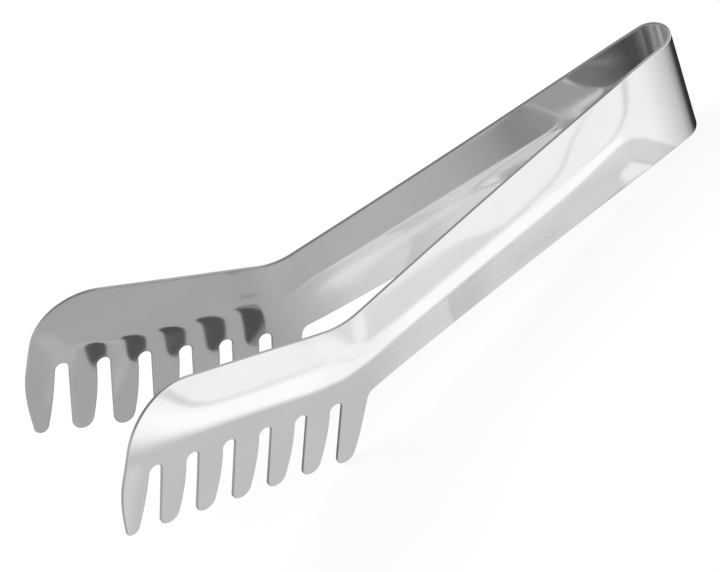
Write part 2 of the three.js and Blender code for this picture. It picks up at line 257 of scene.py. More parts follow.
FLANK_FILM = [(44, -22.5, 1), (36, -24.5, 0.93), (22, -27, 0.87), (4, -31, 0.84), (-8, -34, 0.86),
              (-16, -36, 1)]
FLANK_FILM_REACH = (4, 2)  # half the film's width, and half the width of its dark middle
GLEAM = [(80, 6.4, 8, 0), (77.8, 5.6, 7.5, 1), (72.7, 3.6, 5.9, 1), (69, 1.8, 3.9, 1), (67.5, 0.5, 2.6, 1),
         (66, -0.3, 1.3, 1), (63, -2.6, -1.3, 0.6), (61, -1.2, 0.4, 0.05), (59.5, 1.6, 6, 1),
         (57, 1.2, 14, 1), (54, 3, 24, 1), (51, 4, 28, 1), (48, 6, 31, 1), (45, 8, 33, 1), (42, 9, 35, 1),
         (38, 11, 38, 1), (34, 12, 42, 1), (30, 13, 46, 0)]
GLEAM_FEATHER = 0.5
GLEAM_LEVEL = 0.78

# The room: white walls that the metal shows, a greyer ceiling, and one softbox
WALL_LEVEL = 1.0
CEILING_LEVEL = 0.38
CEILING_RISE = (0.35, 0.65)  # how steeply a ray climbs where the wall turns into the ceiling
ROOM_LIGHT = 0.6
LAMP_PLACE = (-400, 500, 1100)
LAMP_AIM = (0, 0, 30)
LAMP_SIZE = 800
LAMP_POWER = 14

head_length = HEEL_SPAN + (TINE_COUNT - 2) * TINE_PITCH + FRONT_SPAN
tine_root = -SLOT_DROP - SLOT_WIDTH / 2
heel = np.array([HANDLE_LENGTH, -WAIST_WIDTH / 2])
leg_angle = math.pi / 2 - ARM_SPLAY
apex = -BOW_RADIUS * leg_angle
stand_turn = np.array(Matrix.Rotation(STAND_PITCH, 3, "Y"))


# The pressed form of the strip


def lerp(a, b, share):
    return a + (b - a) * share


def smoothstep(x, low, high):
    share = np.clip((x - low) / (high - low), 0, 1)
    return share * share * (3 - 2 * share)


def half_width(u):
    past = u - FLEX_LINE
    eased = (past + np.hypot(past, EDGE_EASE)) / 2
    taper = (BOW_WIDTH - WAIST_WIDTH) / 2 / (HANDLE_LENGTH - FLEX_LINE)
    return BOW_WIDTH / 2 - taper * eased


def turned(point, angle):
    x, y = point
    return np.array([
        x * math.cos(angle) - y * math.sin(angle),
        x * math.sin(angle) + y * math.cos(angle),
    ])


def head_point(along, square):
    return heel + turned((along, square), HEAD_ANGLE)


def slot_middle(slot):
    return HEEL_SPAN + slot * TINE_PITCH


def roof(distance, upper_slope, lower_slope, round_top):
    soft = np.hypot(distance, round_top)
    return -(upper_slope * (soft + distance) + lower_slope * (soft - distance)) / 2


def handle_crown(u, v):
    half = half_width(u)
    slope = RIDGE_HEIGHT / (np.hypot(half, RIDGE_ROUND) - RIDGE_ROUND)
    height = roof(v, slope, slope, RIDGE_ROUND) - roof(half, slope, slope, RIDGE_ROUND)
    return height * smoothstep(u, RIDGE_START, RIDGE_START + RIDGE_RUN_IN)


def head_crown(u, v):
    along, square = turned((u - heel[0], v - heel[1]), -HEAD_ANGLE)
    upper_flank = HEAD_DEPTH - RIDGE_RISE
    upper_slope = HEAD_RIDGE_HEIGHT / upper_flank
    lower_slope = math.tan(TINE_LEAN)
    round_top = lerp(RIDGE_ROUND, SCOOP_ROUND, smoothstep(along, 0, head_length))
    height = roof(square - RIDGE_RISE, upper_slope, lower_slope, round_top)
    return height - roof(upper_flank, upper_slope, lower_slope, round_top)


def head_share(u):
    """How far a place along the strip belongs to the head rather than to the handle."""
    return smoothstep(u, HANDLE_LENGTH - NECK_BLEND, HANDLE_LENGTH + NECK_BLEND)


def outward(u, v):
    flare = u * u / (2 * FLARE_RADIUS)
    return lerp(handle_crown(u, v), head_crown(u, v), head_share(u)) + flare


def standing(points):
    """Points of the tongs' own frame, in the row frame."""
    return points @ stand_turn.T + STAND_PLACE


def middle_surface(s, v, side):
    """The middle of the sheet, s along the strip from the end of the bow's bend, v across it."""
    u = np.maximum(s, 0)
    reach = BOW_RADIUS + np.where(s > 0, outward(u, v), 0)
    angle = leg_angle + np.minimum(s, 0) / BOW_RADIUS
    x = reach * np.cos(angle) - u * math.cos(ARM_SPLAY)
    y = side * (reach * np.sin(angle) + u * math.sin(ARM_SPLAY))
    return standing(np.stack([x, y, v], axis=-1))


def unit(vectors):
    return vectors / np.linalg.norm(vectors, axis=-1, keepdims=True)


def surface_frame(s, v, side):
    """Place, outward normal and the two tangents of the middle of the sheet."""
    nudge = 1e-4
    along = unit(middle_surface(s + nudge, v, side) - middle_surface(s - nudge, v, side))
    across = unit(middle_surface(s, v + nudge, side) - middle_surface(s, v - nudge, side))
    return middle_surface(s, v, side), unit(np.cross(along, across)) * side, along, across


def through(x, points):
    """The height of a line through a few points, over x."""
    return np.interp(x, [p[0] for p in points], [p[1] for p in points])


def head_dish(flat):
    """How the normals of a head's inner face lean along and across the strip."""
    along, square = turned((flat[:, 0] - heel[0], flat[:, 1] - heel[1]), -HEAD_ANGLE)
    top = through(along, DISH_TOP)
    lean = through(along, DISH_LEAN)
    back = (lean + through(along, DISH_TURN_BACK)) * smoothstep(square, top - DISH_SOFT, top + DISH_SOFT)
    leans = np.stack([through(along, DISH_YAW), lean - back], axis=-1)
    fade = 1 - smoothstep(square, top + DISH_SOFT, top + DISH_SOFT + DISH_FADE)
    return np.tan(np.radians(leans)) * (head_share(flat[:, 0]) * fade)[:, None]


# The strip's outline, laid flat: s along it from the end of the bend, v across it


def straight(start, end, step):
    count = max(1, math.ceil(np.linalg.norm(end - start) / step))
    return [lerp(start, end, i / count) for i in range(count)]


def arc(centre, radius, start_angle, sweep):
    count = max(LEAST_ARC_STEPS, math.ceil(abs(sweep) * radius / CURVE_STEP))
    angles = [start_angle + sweep * i / count for i in range(count + 1)]
    return [centre + radius * np.array([math.cos(a), math.sin(a)]) for a in angles]


def fillet(before, corner, after, radius):
    back, ahead = unit(before - corner), unit(after - corner)
    half = math.acos(np.dot(back, ahead)) / 2
    centre = corner + unit(back + ahead) * radius / math.sin(half)
    start = corner + back * radius / math.tan(half) - centre
    left_turn = back[0] * ahead[1] - back[1] * ahead[0] < 0
    sweep = (math.pi - 2 * half) * (1 if left_turn else -1)
    return arc(centre, radius, math.atan2(start[1], start[0]), sweep)


def curve(start, control, end):
    count = math.ceil(np.linalg.norm(end - start) / SHALLOW_STEP)
    shares = [i / count for i in range(count + 1)]
    return [lerp(lerp(start, control, t), lerp(control, end, t), t) for t in shares]


def edge_point(s, side):
    return np.array([s, side * half_width(s)])


def strip_edge(start, end, side):
    """One long edge of the bow and handle, from the bend's top to the neck, with finer steps on the bend."""
    places = [start]
    while places[-1] < end - ARM_STEP:
        places.append(places[-1] + (BOW_STEP if places[-1] < BOW_STEP_END else ARM_STEP))
    return [edge_point(s, side) for s in places]


def tine_outline(tine):
    """From a tine's root down its bulging rear edge and round its tip."""
    rear = 0 if tine == 0 else slot_middle(tine - 1) + SLOT_WIDTH / 2
    root = head_point(rear, tine_root)
    length = lerp(HEEL_TINE_LENGTH, FRONT_TINE_LENGTH, tine / (TINE_COUNT - 1))
    radius = FRONT_TIP_RADIUS if tine == TINE_COUNT - 1 else TIP_RADIUS
    reach = length - radius
    along = slot_middle(tine) - TINE_PITCH / 2 - reach * math.sin(TINE_RAKE)
    tip = head_point(along, -SLOT_DROP - reach * math.cos(TINE_RAKE))
    axis = HEAD_ANGLE - TINE_RAKE - math.pi / 2
    meet_angle = axis - math.pi / 2 + TINE_BELLY
    tip_arc = arc(tip, radius, meet_angle, math.pi - TINE_BELLY)
    back_along_edge = np.array([math.sin(meet_angle), -math.cos(meet_angle)])
    bulge = tip_arc[0] + back_along_edge * np.linalg.norm(tip_arc[0] - root) / 2
    return curve(root, bulge, tip_arc[0]) + tip_arc[1:]


def eased_front(start):
    """The last tine's front edge, a curve that runs on from the head's front edge."""
    control = head_point(head_length, tine_root - FRONT_EASE)
    return curve(start, control, head_point(head_length, tine_root))


def valley_corner(corner, top_rear):
    """Where the line of the head's top edge crosses the line of the handle's upper edge."""
    edge_far, edge_near = [edge_point(s, 1) for s in EDGE_GAUGE]
    edge = unit(edge_near - edge_far)
    system = np.stack([edge, -unit(top_rear - corner)], axis=-1)
    return edge_far + edge * np.linalg.solve(system, corner - edge_far)[0]


def joined(*runs):
    """Runs of points in one chain, with straight steps where two runs don't meet."""
    chain = list(runs[0])
    for run in runs[1:]:
        chain += straight(chain[-1], run[0], ARM_STEP)[1:]
        chain += run[0 if np.linalg.norm(chain[-1] - run[0]) > RUN_GAP else 1:]
    return chain


def strip_outline():
    """The chain of points round one half of the strip, from the bend's top along the lower edge and back."""
    lower_before = edge_point(HANDLE_LENGTH - HEEL_GAUGE, -1)
    heel_turn = fillet(lower_before, heel, head_point(0, -TINE_PITCH), HEEL_RADIUS)
    runs = [strip_edge(apex, heel_turn[0][0], -1), heel_turn]
    for tine in range(TINE_COUNT - 1):
        runs.append(tine_outline(tine))
        slot = head_point(slot_middle(tine), tine_root)
        runs.append(arc(slot, SLOT_WIDTH / 2, HEAD_ANGLE + math.pi, -math.pi))
    last_tip = tine_outline(TINE_COUNT - 1)
    runs += [last_tip, eased_front(last_tip[-1])]
    corner = head_point(head_length, HEAD_DEPTH)
    top_rear = head_point(0, HEAD_DEPTH)
    runs.append(fillet(head_point(head_length, 0), corner, top_rear, CORNER_RADIUS))
    valley = valley_corner(corner, top_rear)
    valley_turn = fillet(corner, valley, edge_point(EDGE_GAUGE[0], 1), VALLEY_RADIUS)
    runs += [valley_turn, strip_edge(apex, valley_turn[-1][0], 1)[::-1]]
    return np.array(joined(*runs))


def outline_normals(chain):
    """Which way is out of the strip at each point of its outline, whose ends lie at the bend's top."""
    tangent = unit(np.gradient(chain, axis=0))
    tangent[0], tangent[-1] = (1, 0), (-1, 0)
    return np.stack([tangent[:, 1], -tangent[:, 0]], axis=-1)


# The strip's mesh


def inside(points, loop):
    """Which points lie inside a closed loop."""
    after = np.roll(loop, -1, axis=0)
    crossings = np.zeros(len(points), int)
    for (x0, y0), (x1, y1) in zip(loop, after):
        spans = (y0 > points[:, 1]) != (y1 > points[:, 1])
        rise = y1 - y0 if y1 != y0 else 1
        crossings += spans & (points[:, 0] < x0 + (points[:, 1] - y0) * (x1 - x0) / rise)
    return crossings % 2 == 1


def clearance(points, loop):
    """Distance from each point to the nearest edge of a closed loop."""
    after = np.roll(loop, -1, axis=0)
    nearest = np.full(len(points), np.inf)
    for start, end in zip(loop, after):
        step = end - start
        share = np.clip((points - start) @ step / (step @ step), 0, 1)
        nearest = np.minimum(nearest, np.linalg.norm(points - start - share[:, None] * step, axis=1))
    return nearest


def staggered(low, high, step):
    """Rows of points, every second row shifted by half a step."""
    rows = np.arange(low[0], high[0], step * math.sqrt(3) / 2)
    points = []
    for i, s in enumerate(rows):
        shift = step / 2 * (i % 2)
        points += [(s, v + shift) for v in np.arange(low[1], high[1], step)]
    return np.array(points)


def flat_mesh(chain, rim):
    """Points and triangles of the flat strip: the chain set in by the rim first, then the cut at the bend's
    top, then the points inside."""
    cut_count = math.ceil(BOW_WIDTH / BOW_STEP)
    cut = np.array([lerp(rim[-1], rim[0], i / cut_count) for i in range(1, cut_count)])
    loop = np.concatenate([rim, cut])
    bow = staggered((apex, -BOW_WIDTH / 2), (BOW_STEP_END, BOW_WIDTH / 2), BOW_STEP)
    lowest = chain.min(axis=0)
    highest = chain.max(axis=0)
    arm = staggered((BOW_STEP_END, lowest[1]), (highest[0], highest[1]), ARM_STEP)
    points = [loop]
    for grid, step in ((bow, BOW_STEP), (arm, ARM_STEP)):
        kept = grid[inside(grid, loop)]
        points.append(kept[clearance(kept, loop) > RIM_GAP * step])
    points = np.concatenate(points)
    border = [(i, (i + 1) % len(loop)) for i in range(len(loop))]
    flat = [Vector(p) for p in points]
    _, _, faces, origins, _, _ = delaunay_2d_cdt(flat, border, [], INSIDE_ONLY, SAME_POINT)
    source = [o[0] for o in origins]
    triangles = [tuple(source[i] for i in face) for face in faces]
    return points, triangles, len(loop)


def add_attribute(mesh, name, values):
    layer = mesh.attributes.new(name, "FLOAT", "POINT")
    layer.data.foreach_set("value", values)


def add_object(name, data):
    obj = bpy.data.objects.new(name, data)
    bpy.context.collection.objects.link(obj)
    return obj


def sheet_faces(triangles, outer, inner, rings, loop_count, side):
    """Faces of the sheet's two sides, of the rim from ring to ring, and of the cut at the bend's top."""
    rim_count = len(rings[0])
    faces = [tuple(outer[list(t)]) for t in triangles]
    faces += [tuple(inner[list(t)][::-1]) for t in triangles]
    for upper, lower in zip(rings, rings[1:]):
        for i in range(rim_count - 1):
            faces.append((upper[i], lower[i], lower[i + 1], upper[i + 1]))
    cut = range(rim_count, loop_count)
    faces.append(tuple(
        [ring[-1] for ring in rings] + [inner[i] for i in cut]
        + [ring[0] for ring in rings[::-1]] + [outer[i] for i in reversed(cut)]
    ))
    return [[int(i) for i in face[::side]] for face in faces]


def sheet_object(name, places, faces, flats, normals, shares):
    """An object of a sheet's points and faces, with the flat places as its texture coordinates."""
    mesh = bpy.data.meshes.new(name)
    mesh.from_pydata((np.concatenate(places) * MM).tolist(), [], faces)
    corners = np.zeros(len(mesh.loops), int)
    mesh.loops.foreach_get("vertex_index", corners)
    layer = mesh.uv_layers.new(name="strip")
    layer.data.foreach_set("uv", (np.concatenate(flats)[corners] * MM).ravel())
    for kind, values in shares.items():
        add_attribute(mesh, kind, np.concatenate(values))
    mesh.polygons.foreach_set("use_smooth", np.ones(len(mesh.polygons), bool))
    mesh.normals_split_custom_set_from_vertices(np.concatenate(normals).tolist())
    mesh.validate()
    return add_object(name, mesh)


def strip_mesh(name, side):
    """One half of the strip as a closed sheet with rounded edges and the pressed form's own normals."""
    chain = strip_outline()
    out = outline_normals(chain)
    chain = chain - RIM_INSET * out
    rim = chain - RIM_ROUND * out
    points, triangles, loop_count = flat_mesh(chain, rim)
    near_rim = 1 - smoothstep(clearance(points, rim), 0, RIM_WEAR)

    places, normals, flats, wear, inner_share, cut_share = [], [], [], [], [], []

    def add(flat, offset, lean, lean_out, rim_share, cut_edge):
        """Adds points at an offset from the middle of the sheet, and gives their numbers."""
        place, normal, along, across = surface_frame(flat[:, 0], flat[:, 1], side)
        first = sum(len(p) for p in places)
        places.append(place + offset * normal)
        leaning = lean * normal
        if lean_out is not None:
            leaning = leaning + lean_out[:, :1] * along + lean_out[:, 1:] * across
        normals.append(unit(leaning))
        flats.append(flat)
        wear.append(rim_share)
        inner_share.append(np.full(len(flat), 0.5 - offset / SHEET))
        cut_share.append(np.broadcast_to(cut_edge, len(flat)))
        return np.arange(first, first + len(flat))

    outer = add(points, SHEET / 2, 1, None, near_rim, 0.0)
    inner = add(points, -SHEET / 2, -1, side * head_dish(points), near_rim, 0.0)
    rings = [outer[:len(chain)]]
    full = np.ones(len(chain))
    # painted highlight: beside the bow the left arm's top cut edge takes the bright tone, not the sheared
    # one
    painted_edge_highlight = smoothstep(chain[:, 0], apex, apex / 2) * (1 - smoothstep(chain[:, 0], *EDGE_HIGHLIGHT_END))
    sheared = 1 - painted_edge_highlight * (chain[:, 1] > 0) * (side < 0)
    for face in (1, -1):
        for degrees in RIM_ANGLES[::face]:
            angle = math.radians(degrees)
            flat = chain - RIM_ROUND * (1 - math.sin(angle)) * out
            height = face * (SHEET / 2 - RIM_ROUND * (1 - math.cos(angle)))
            rings.append(add(flat, height, face * math.cos(angle), math.sin(angle) * out, full, sheared))
    rings.append(inner[:len(chain)])

    shares = {"rim": wear, "inner": inner_share, "cut": cut_share}
    faces = sheet_faces(triangles, outer, inner, rings, loop_count, side)
    return sheet_object(name, places, faces, flats, normals, shares)


# Materials


def new_material(name):
    material = bpy.data.materials.new(name)
    material.use_nodes = True
    tree = material.node_tree
    tree.nodes.clear()
    return material, tree


def add_node(tree, kind, settings=None, inputs=None):
    node = tree.nodes.new(kind)
    for key, value in (settings or {}).items():
        setattr(node, key, value)
    for key, value in (inputs or {}).items():
        if isinstance(value, bpy.types.NodeSocket):
            tree.links.new(value, node.inputs[key])
        else:
            node.inputs[key].default_value = value
    return node


def attribute(tree, name):
    return add_node(tree, "ShaderNodeAttribute", {"attribute_name": name}).outputs["Fac"]


def math_node(tree, operation, first, second, clamped=False):
    settings = {"operation": operation, "use_clamp": clamped}
    return add_node(tree, "ShaderNodeMath", settings, {0: first, 1: second}).outputs[0]


def mapped(tree, value, limits, results, curve_kind="LINEAR"):
    return add_node(tree, "ShaderNodeMapRange", {"interpolation_type": curve_kind}, {
        "Value": value, "From Min": limits[0], "From Max": limits[1],
        "To Min": results[0], "To Max": results[1],
    }).outputs["Result"]


def mixed_colour(tree, share, first, second):
    return add_node(tree, "ShaderNodeMix", {"data_type": "RGBA"}, {0: share, 6: first, 7: second}).outputs[2]


def grey(level):
    return (level, level, level, 1)


def in_metres(limits):
    return [limit * MM for limit in limits]


def seen_in_metal(tree, path):
    return math_node(tree, "MAXIMUM", path.outputs["Is Glossy Ray"], path.outputs["Is Transmission Ray"])


def steel_material():
    """Polished sheet with fine grain, cloudy polish, sheared edges, painted shade inside and a painted edge
    highlight.
    """
    material, tree = new_material("polished_stainless")
    place = add_node(tree, "ShaderNodeUVMap", {"uv_map": "strip"}).outputs["UV"]
    along = add_node(tree, "ShaderNodeSeparateXYZ", None, {"Vector": place}).outputs["X"]
    rim = attribute(tree, "rim")
    inner = attribute(tree, "inner")
    cut = attribute(tree, "cut")

    def noise(scale, detail, across):
        stretched = add_node(tree, "ShaderNodeMapping", None, {"Vector": place, "Scale": (1, across, 1)})
        return add_node(tree, "ShaderNodeTexNoise", None, {
            "Vector": stretched.outputs["Vector"], "Scale": scale, "Detail": detail,
        }).outputs["Fac"]

    def product(first, second):
        return math_node(tree, "MULTIPLY", first, second)

    def total(first, *others):
        for other in others:
            first = math_node(tree, "ADD", first, other)
        return first

    clouds = noise(*CLOUDS)
    grain = noise(*GRAIN)
    scratches = noise(*SCRATCHES)
    roughness = total(
        mapped(tree, clouds, NOISE_RANGE, CLOUD_ROUGHNESS),
        mapped(tree, grain, NOISE_RANGE, GRAIN_ROUGHNESS),
        product(rim, RIM_ROUGHNESS),
        product(cut, CUT_ROUGHNESS),
        product(inner, mapped(tree, along, in_metres(SMOOTH_AGAIN), (BEND_ROUGHNESS, 0))),
    )

    patches = mapped(tree, clouds, TONE_RANGE, (0, 1))
    bright, inner_shaded, sheared = [
        mixed_colour(tree, patches, grey(low), grey(high))
        for low, high in (BRIGHT_TONES, INNER_SHADE_TONES, SHEARED_TONES)
    ]
    # painted shade: the heads' inner faces turn a darker grey along the strip past the neck
    painted_inner_shade = product(inner, mapped(tree, along, in_metres(INNER_SHADE_START), (0, 1)))
    tone = mixed_colour(tree, painted_inner_shade, bright, inner_shaded)
    # painted shade: a darker grey across the inside of the bow's bend
    bend_start = mapped(tree, along, in_metres(BEND_START), (0, 1))
    bend_end = mapped(tree, along, in_metres(BEND_END), (1, 0))
    bend = product(inner, product(bend_start, bend_end))
    tone = mixed_colour(tree, bend, tone, grey(BOW_INSIDE_SHADE_TONE))
    tone = mixed_colour(tree, cut, tone, sheared)

    bump = add_node(tree, "ShaderNodeBump", None, {
        "Strength": mapped(tree, inner, (0, 1), BUMP_STRENGTH), "Distance": BUMP_DEPTH * MM,
        "Height": total(product(grain, GRAIN_SHARE), product(scratches, SCRATCH_SHARE)),
    })
    shader = add_node(tree, "ShaderNodeBsdfPrincipled", None, {
        "Base Color": tone, "Metallic": 1.0, "Roughness": roughness, "Normal": bump.outputs["Normal"],
    })
    add_node(tree, "ShaderNodeOutputMaterial", None, {"Surface": shader.outputs["BSDF"]})
    return material


def floor_material():
    """A white floor that keeps the object's shadow faintly to the camera, and glows in the metal with
    painted soft shade.
    """
    material, tree = new_material("white_floor")
    path = add_node(tree, "ShaderNodeLightPath")
    to_camera = math_node(tree, "MULTIPLY", path.outputs["Is Camera Ray"], FLOOR_WHITE_SHARE)
    openness = add_node(tree, "ShaderNodeAmbientOcclusion", {"samples": SHADE_SAMPLES}, {
        "Distance": SHADE_REACH * MM,
    })
    place = add_node(tree, "ShaderNodeTexCoord").outputs["Object"]
    along = add_node(tree, "ShaderNodeSeparateXYZ", None, {"Vector": place}).outputs["X"]
    gain = mapped(tree, along, in_metres(COMB_SHADE), (COMB_LEVEL, SHADE_GAIN), "SMOOTHSTEP")
    shade = math_node(tree, "POWER", openness.outputs["AO"], SHADE_DEPTH)
    shade = math_node(tree, "MULTIPLY", shade, gain, clamped=True)
    diffuse = add_node(tree, "ShaderNodeBsdfDiffuse", None, {"Color": grey(FLOOR_TONE)})
    white = add_node(tree, "ShaderNodeEmission", None, {"Color": grey(1), "Strength": 1.0})
    shaded = add_node(tree, "ShaderNodeEmission", None, {"Color": grey(1), "Strength": shade})
    seen = add_node(tree, "ShaderNodeMixShader", None, {
        0: to_camera, 1: diffuse.outputs[0], 2: white.outputs[0],
    })
    surface = add_node(tree, "ShaderNodeMixShader", None, {
        0: seen_in_metal(tree, path), 1: seen.outputs[0], 2: shaded.outputs[0],
    })
    add_node(tree, "ShaderNodeOutputMaterial", None, {"Surface": surface.outputs[0]})
    return material


def glow_material():
    """A glowing card, no lamp, that paints a reflection into the metal at the level that its mesh gives,
    where its mesh says it covers.
    """
    material, tree = new_material("bright_card")
    clear = add_node(tree, "ShaderNodeBsdfTransparent")
    glow = add_node(tree, "ShaderNodeEmission", None, {
        "Color": grey(1), "Strength": attribute(tree, "level"),
    })
    surface = add_node(tree, "ShaderNodeMixShader", None, {
        0: attribute(tree, "cover"), 1: clear.outputs[0], 2: glow.outputs[0],
    })
    add_node(tree, "ShaderNodeOutputMaterial", None, {"Surface": surface.outputs[0]})
    return material


def film_material():
    """A dark film that paints shade into the metal, letting through the share of the floor that its mesh
    gives.
    """
    material, tree = new_material("shade_film")
    clear = add_node(tree, "ShaderNodeBsdfTransparent", None, {"Color": attribute(tree, "level")})
    add_node(tree, "ShaderNodeOutputMaterial", None, {"Surface": clear.outputs[0]})
    return material


# The object

steel = steel_material()
for arm, side in (("left", -1), ("right", 1)):
    strip = strip_mesh(f"{arm}_strip", side)
    strip.data.materials.append(steel)
    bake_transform(strip)
    nodes = [f"{arm}_grip", f"{arm}_comb_plate"] + [f"{arm}_tine_{k + 1}" for k in range(TINE_COUNT)]
    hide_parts(*nodes, "spring_bow")

# The camera

eye = standing(CAMERA_PLACE)
view = unit(CAMERA_VIEW)
right = unit(CAMERA_RIGHT - view * np.dot(view, CAMERA_RIGHT))
axes = stand_turn @ np.stack([right, np.cross(right, view), -view], axis=-1)

camera = add_object("camera", bpy.data.cameras.new("camera"))
camera.data.sensor_fit = "HORIZONTAL"
camera.data.sensor_width = CAMERA_SENSOR
camera.data.lens = CAMERA_LENS
camera.data.clip_start = CAMERA_CLIP * MM
camera.matrix_world = Matrix.Translation(Vector(eye * MM)) @ Matrix(axes.tolist()).to_4x4()
bpy.context.scene.camera = camera

# The floor

bpy.ops.mesh.primitive_plane_add(size=FLOOR_SIZE * MM, location=(0, 0, -FLOOR_DROP * MM))
floor = bpy.context.object
floor.name = "floor"
floor.data.materials.append(floor_material())

# Cards on the floor that only the metal shows: painted reflections, highlights and shade

bright_card = glow_material()
shade_film = film_material()


def mirrored_floor(places):
    """Where the camera sees the floor in the near arm's outer face, for places on the strip."""
    s, v = np.moveaxis(np.asarray(places, float), -1, 0)
    place, normal, _, _ = surface_frame(s, v, -1)
    place = place + normal * SHEET / 2
    ray = unit(place - eye)
    ray = ray - 2 * np.sum(ray * normal, axis=-1, keepdims=True) * normal
    return (place - ray * place[..., 2:] / ray[..., 2:])[..., :2]


def card(name, corners, levels, covers, material, prefix=""):
    """A card in rows and columns of places on the floor, with a level and a cover at each."""
    rows, columns, _ = corners.shape
    count = np.arange(rows * columns).reshape(rows, columns)
    faces = np.stack([count[:-1, :-1], count[:-1, 1:], count[1:, 1:], count[1:, :-1]], axis=-1)
    heights = np.full((rows, columns, 1), float(CARD_HEIGHTS[name]))
    places = np.concatenate([corners, heights], axis=-1) * MM
    mesh = bpy.data.meshes.new(prefix + name)
    mesh.from_pydata(places.reshape(-1, 3).tolist(), [], faces.reshape(-1, 4).tolist())
    for kind, values in (("level", levels), ("cover", covers)):
        add_attribute(mesh, kind, np.broadcast_to(values, (rows, columns)).astype(float).ravel())
    mesh.materials.append(material)
    obj = add_object(prefix + name, mesh)
    obj.visible_camera = False
    obj.visible_diffuse = False
    obj.visible_shadow = False


def both_sides(name, corners, levels, covers, material):
    """A card on the near side of the tongs and its mirror image on the far side."""
    card(name, corners, levels, covers, material, "near_")
    card(name, corners * (1, -1), levels, covers, material, "far_")


def fine(columns):
    """The columns of a card with more of them between, a few millimetres apart on the metal."""
    columns = np.array(columns, float)
    lengths = np.linalg.norm(np.diff(columns[:, :2], axis=0), axis=1)
    stations = np.concatenate([[0], np.cumsum(lengths)])
    steps = np.union1d(np.arange(0, stations[-1], CARD_STEP), stations)
    return np.stack([np.interp(steps, stations, c) for c in columns.T], axis=-1)


def square_to(points):
    """Unit steps square to a line of points."""
    along = unit(np.gradient(points, axis=0))
    return np.stack([-along[:, 1], along[:, 0]], axis=-1)


def between_lines(columns):
    """Floor rows of a card between two lines on the metal: each column has a place on both and a feather."""
    low, high, feather = columns[:, :2], columns[:, 2:4], columns[:, 4:5]
    across = unit(high - low) * feather
    return mirrored_floor(np.stack([low - across, low + across, high - across, high + across]))


def panel(name, columns):
    """A soft-edged bright card on the metal that fades out at both ends; each column ends with its level."""
    columns = fine(columns)
    covers = np.outer([0, 1, 1, 0], [0] + [1] * (len(columns) - 2) + [0])
    both_sides(name, between_lines(columns), columns[:, 5], covers, bright_card)


def line(name, points, feather):
    """A soft-edged line on the metal: each point has its place, its width and its level."""
    points = fine(points)
    across = square_to(points[:, :2]) * points[:, 2:3] / 2
    feathers = np.full((len(points), 1), feather)
    columns = np.concatenate([points[:, :2] - across, points[:, :2] + across, feathers], axis=-1)
    covers = np.outer([0, 1, 1, 0], np.ones(len(points)))
    both_sides(name, between_lines(columns), points[:, 3], covers, bright_card)


def across_strip(rows, *finish):
    """Columns across the strip: each row's place along it, its two places across it, and the finish."""
    return [(s, low, s, high, *own, *finish) for s, low, high, *own in rows]


def across_head(rows, *finish):
    """Columns square to the head: each row's place along it, its two places square to it, and the finish."""
    return [(*head_point(a, low), *head_point(a, high), *own, *finish) for a, low, high, *own in rows]


def on_head(points):
    """Points along and square to the head, as places along and across the strip."""
    return [(*head_point(along, square), *own) for along, square, *own in points]


def white_card():
    """A glowing card that paints the white reflection that the upper flanks show, from the ridge's foot out
    over the floor.
    """
    foot = fine(WHITE_FOOT + on_head(WHITE_HEAD_FOOT))
    across = square_to(foot[:, :2]) * foot[:, 2:]
    inner_row, foot_row = mirrored_floor(np.stack([foot[:, :2] - across, foot[:, :2] + across]))
    outer_row = foot_row * (WHITE_SPREAD, 0) - (0, WHITE_REACH)
    past_end = np.array([WHITE_REACH, PAST_BOW[1]])
    rows = [np.vstack([PAST_BOW, inner_row])]
    for share, _ in WHITE_FADE:
        rows.append(np.vstack([lerp(PAST_BOW, past_end, share), lerp(foot_row, outer_row, share)]))
    levels = [[1]] + [[level] for _, level in WHITE_FADE]
    covers = [[0]] + [[1]] * len(WHITE_FADE)
    both_sides("white_card", np.stack(rows), levels, covers, bright_card)


def flank_dip():
    """A film that paints shade on a short stretch of the lower flank."""
    rows = mirrored_floor(np.array([[(s, v) for s, _ in FLANK_DIP] for v in FLANK_DIP_ROWS]))
    levels = np.array([level for _, level in FLANK_DIP])
    both_sides("flank_dip", rows, np.stack([levels, levels, np.ones(len(levels))]), 1, shade_film)


def bow_flag():
    """A film that paints shade on the back of the bow."""
    places = np.arange(FLAG_FADE[0][0], FLAG_FADE[-1][0] + FLAG_STEP, FLAG_STEP)
    ends = (-BOW_WIDTH / 2, BOW_WIDTH / 2 + FLAG_OVER)
    rows = mirrored_floor(np.array([[(s, v) for s in places] for v in ends]))
    card("bow_flag", rows, through(places, FLAG_FADE), 1, shade_film)


def columns_of(rows):
    return np.array(rows, float).T


def floor_rows(x, *runs):
    """Rows of places on the floor, each run of places across over the same places along."""
    return np.stack([np.stack([x, np.broadcast_to(y, x.shape)], axis=-1) for y in runs])


def floor_patch(name, x, low, high, covers, level, feather):
    """A bright card on the floor with soft long edges."""
    rows = floor_rows(x, low - feather, low + feather, high - feather, high + feather)
    card(name, rows, level, np.outer([0, 1, 1, 0], covers), bright_card)


def floor_edge(name, x, low, end, covers, level, feather):
    """A bright card on the floor with a soft edge on one side."""
    rows = floor_rows(x, low - feather, low + feather, end)
    card(name, rows, level, np.outer([0, 1, 1], covers), bright_card)


def between_floor():
    """Painted shade: the dark floor between the arms, as the metal shows it."""
    x, half, level = columns_of(BETWEEN_FLOOR)
    covers = [1] * (len(x) - 1) + [0]
    floor_patch("between_floor", x, -half, half, covers, level, BETWEEN_FEATHER)


def bow_wedge():
    """A greyer wedge of painted light on the painted shade near the bow."""
    x, low, high, covers = columns_of(BOW_WEDGE)
    floor_edge("bow_wedge", x, low, high, covers, BOW_WEDGE_LEVEL, BOW_WEDGE_FEATHER)


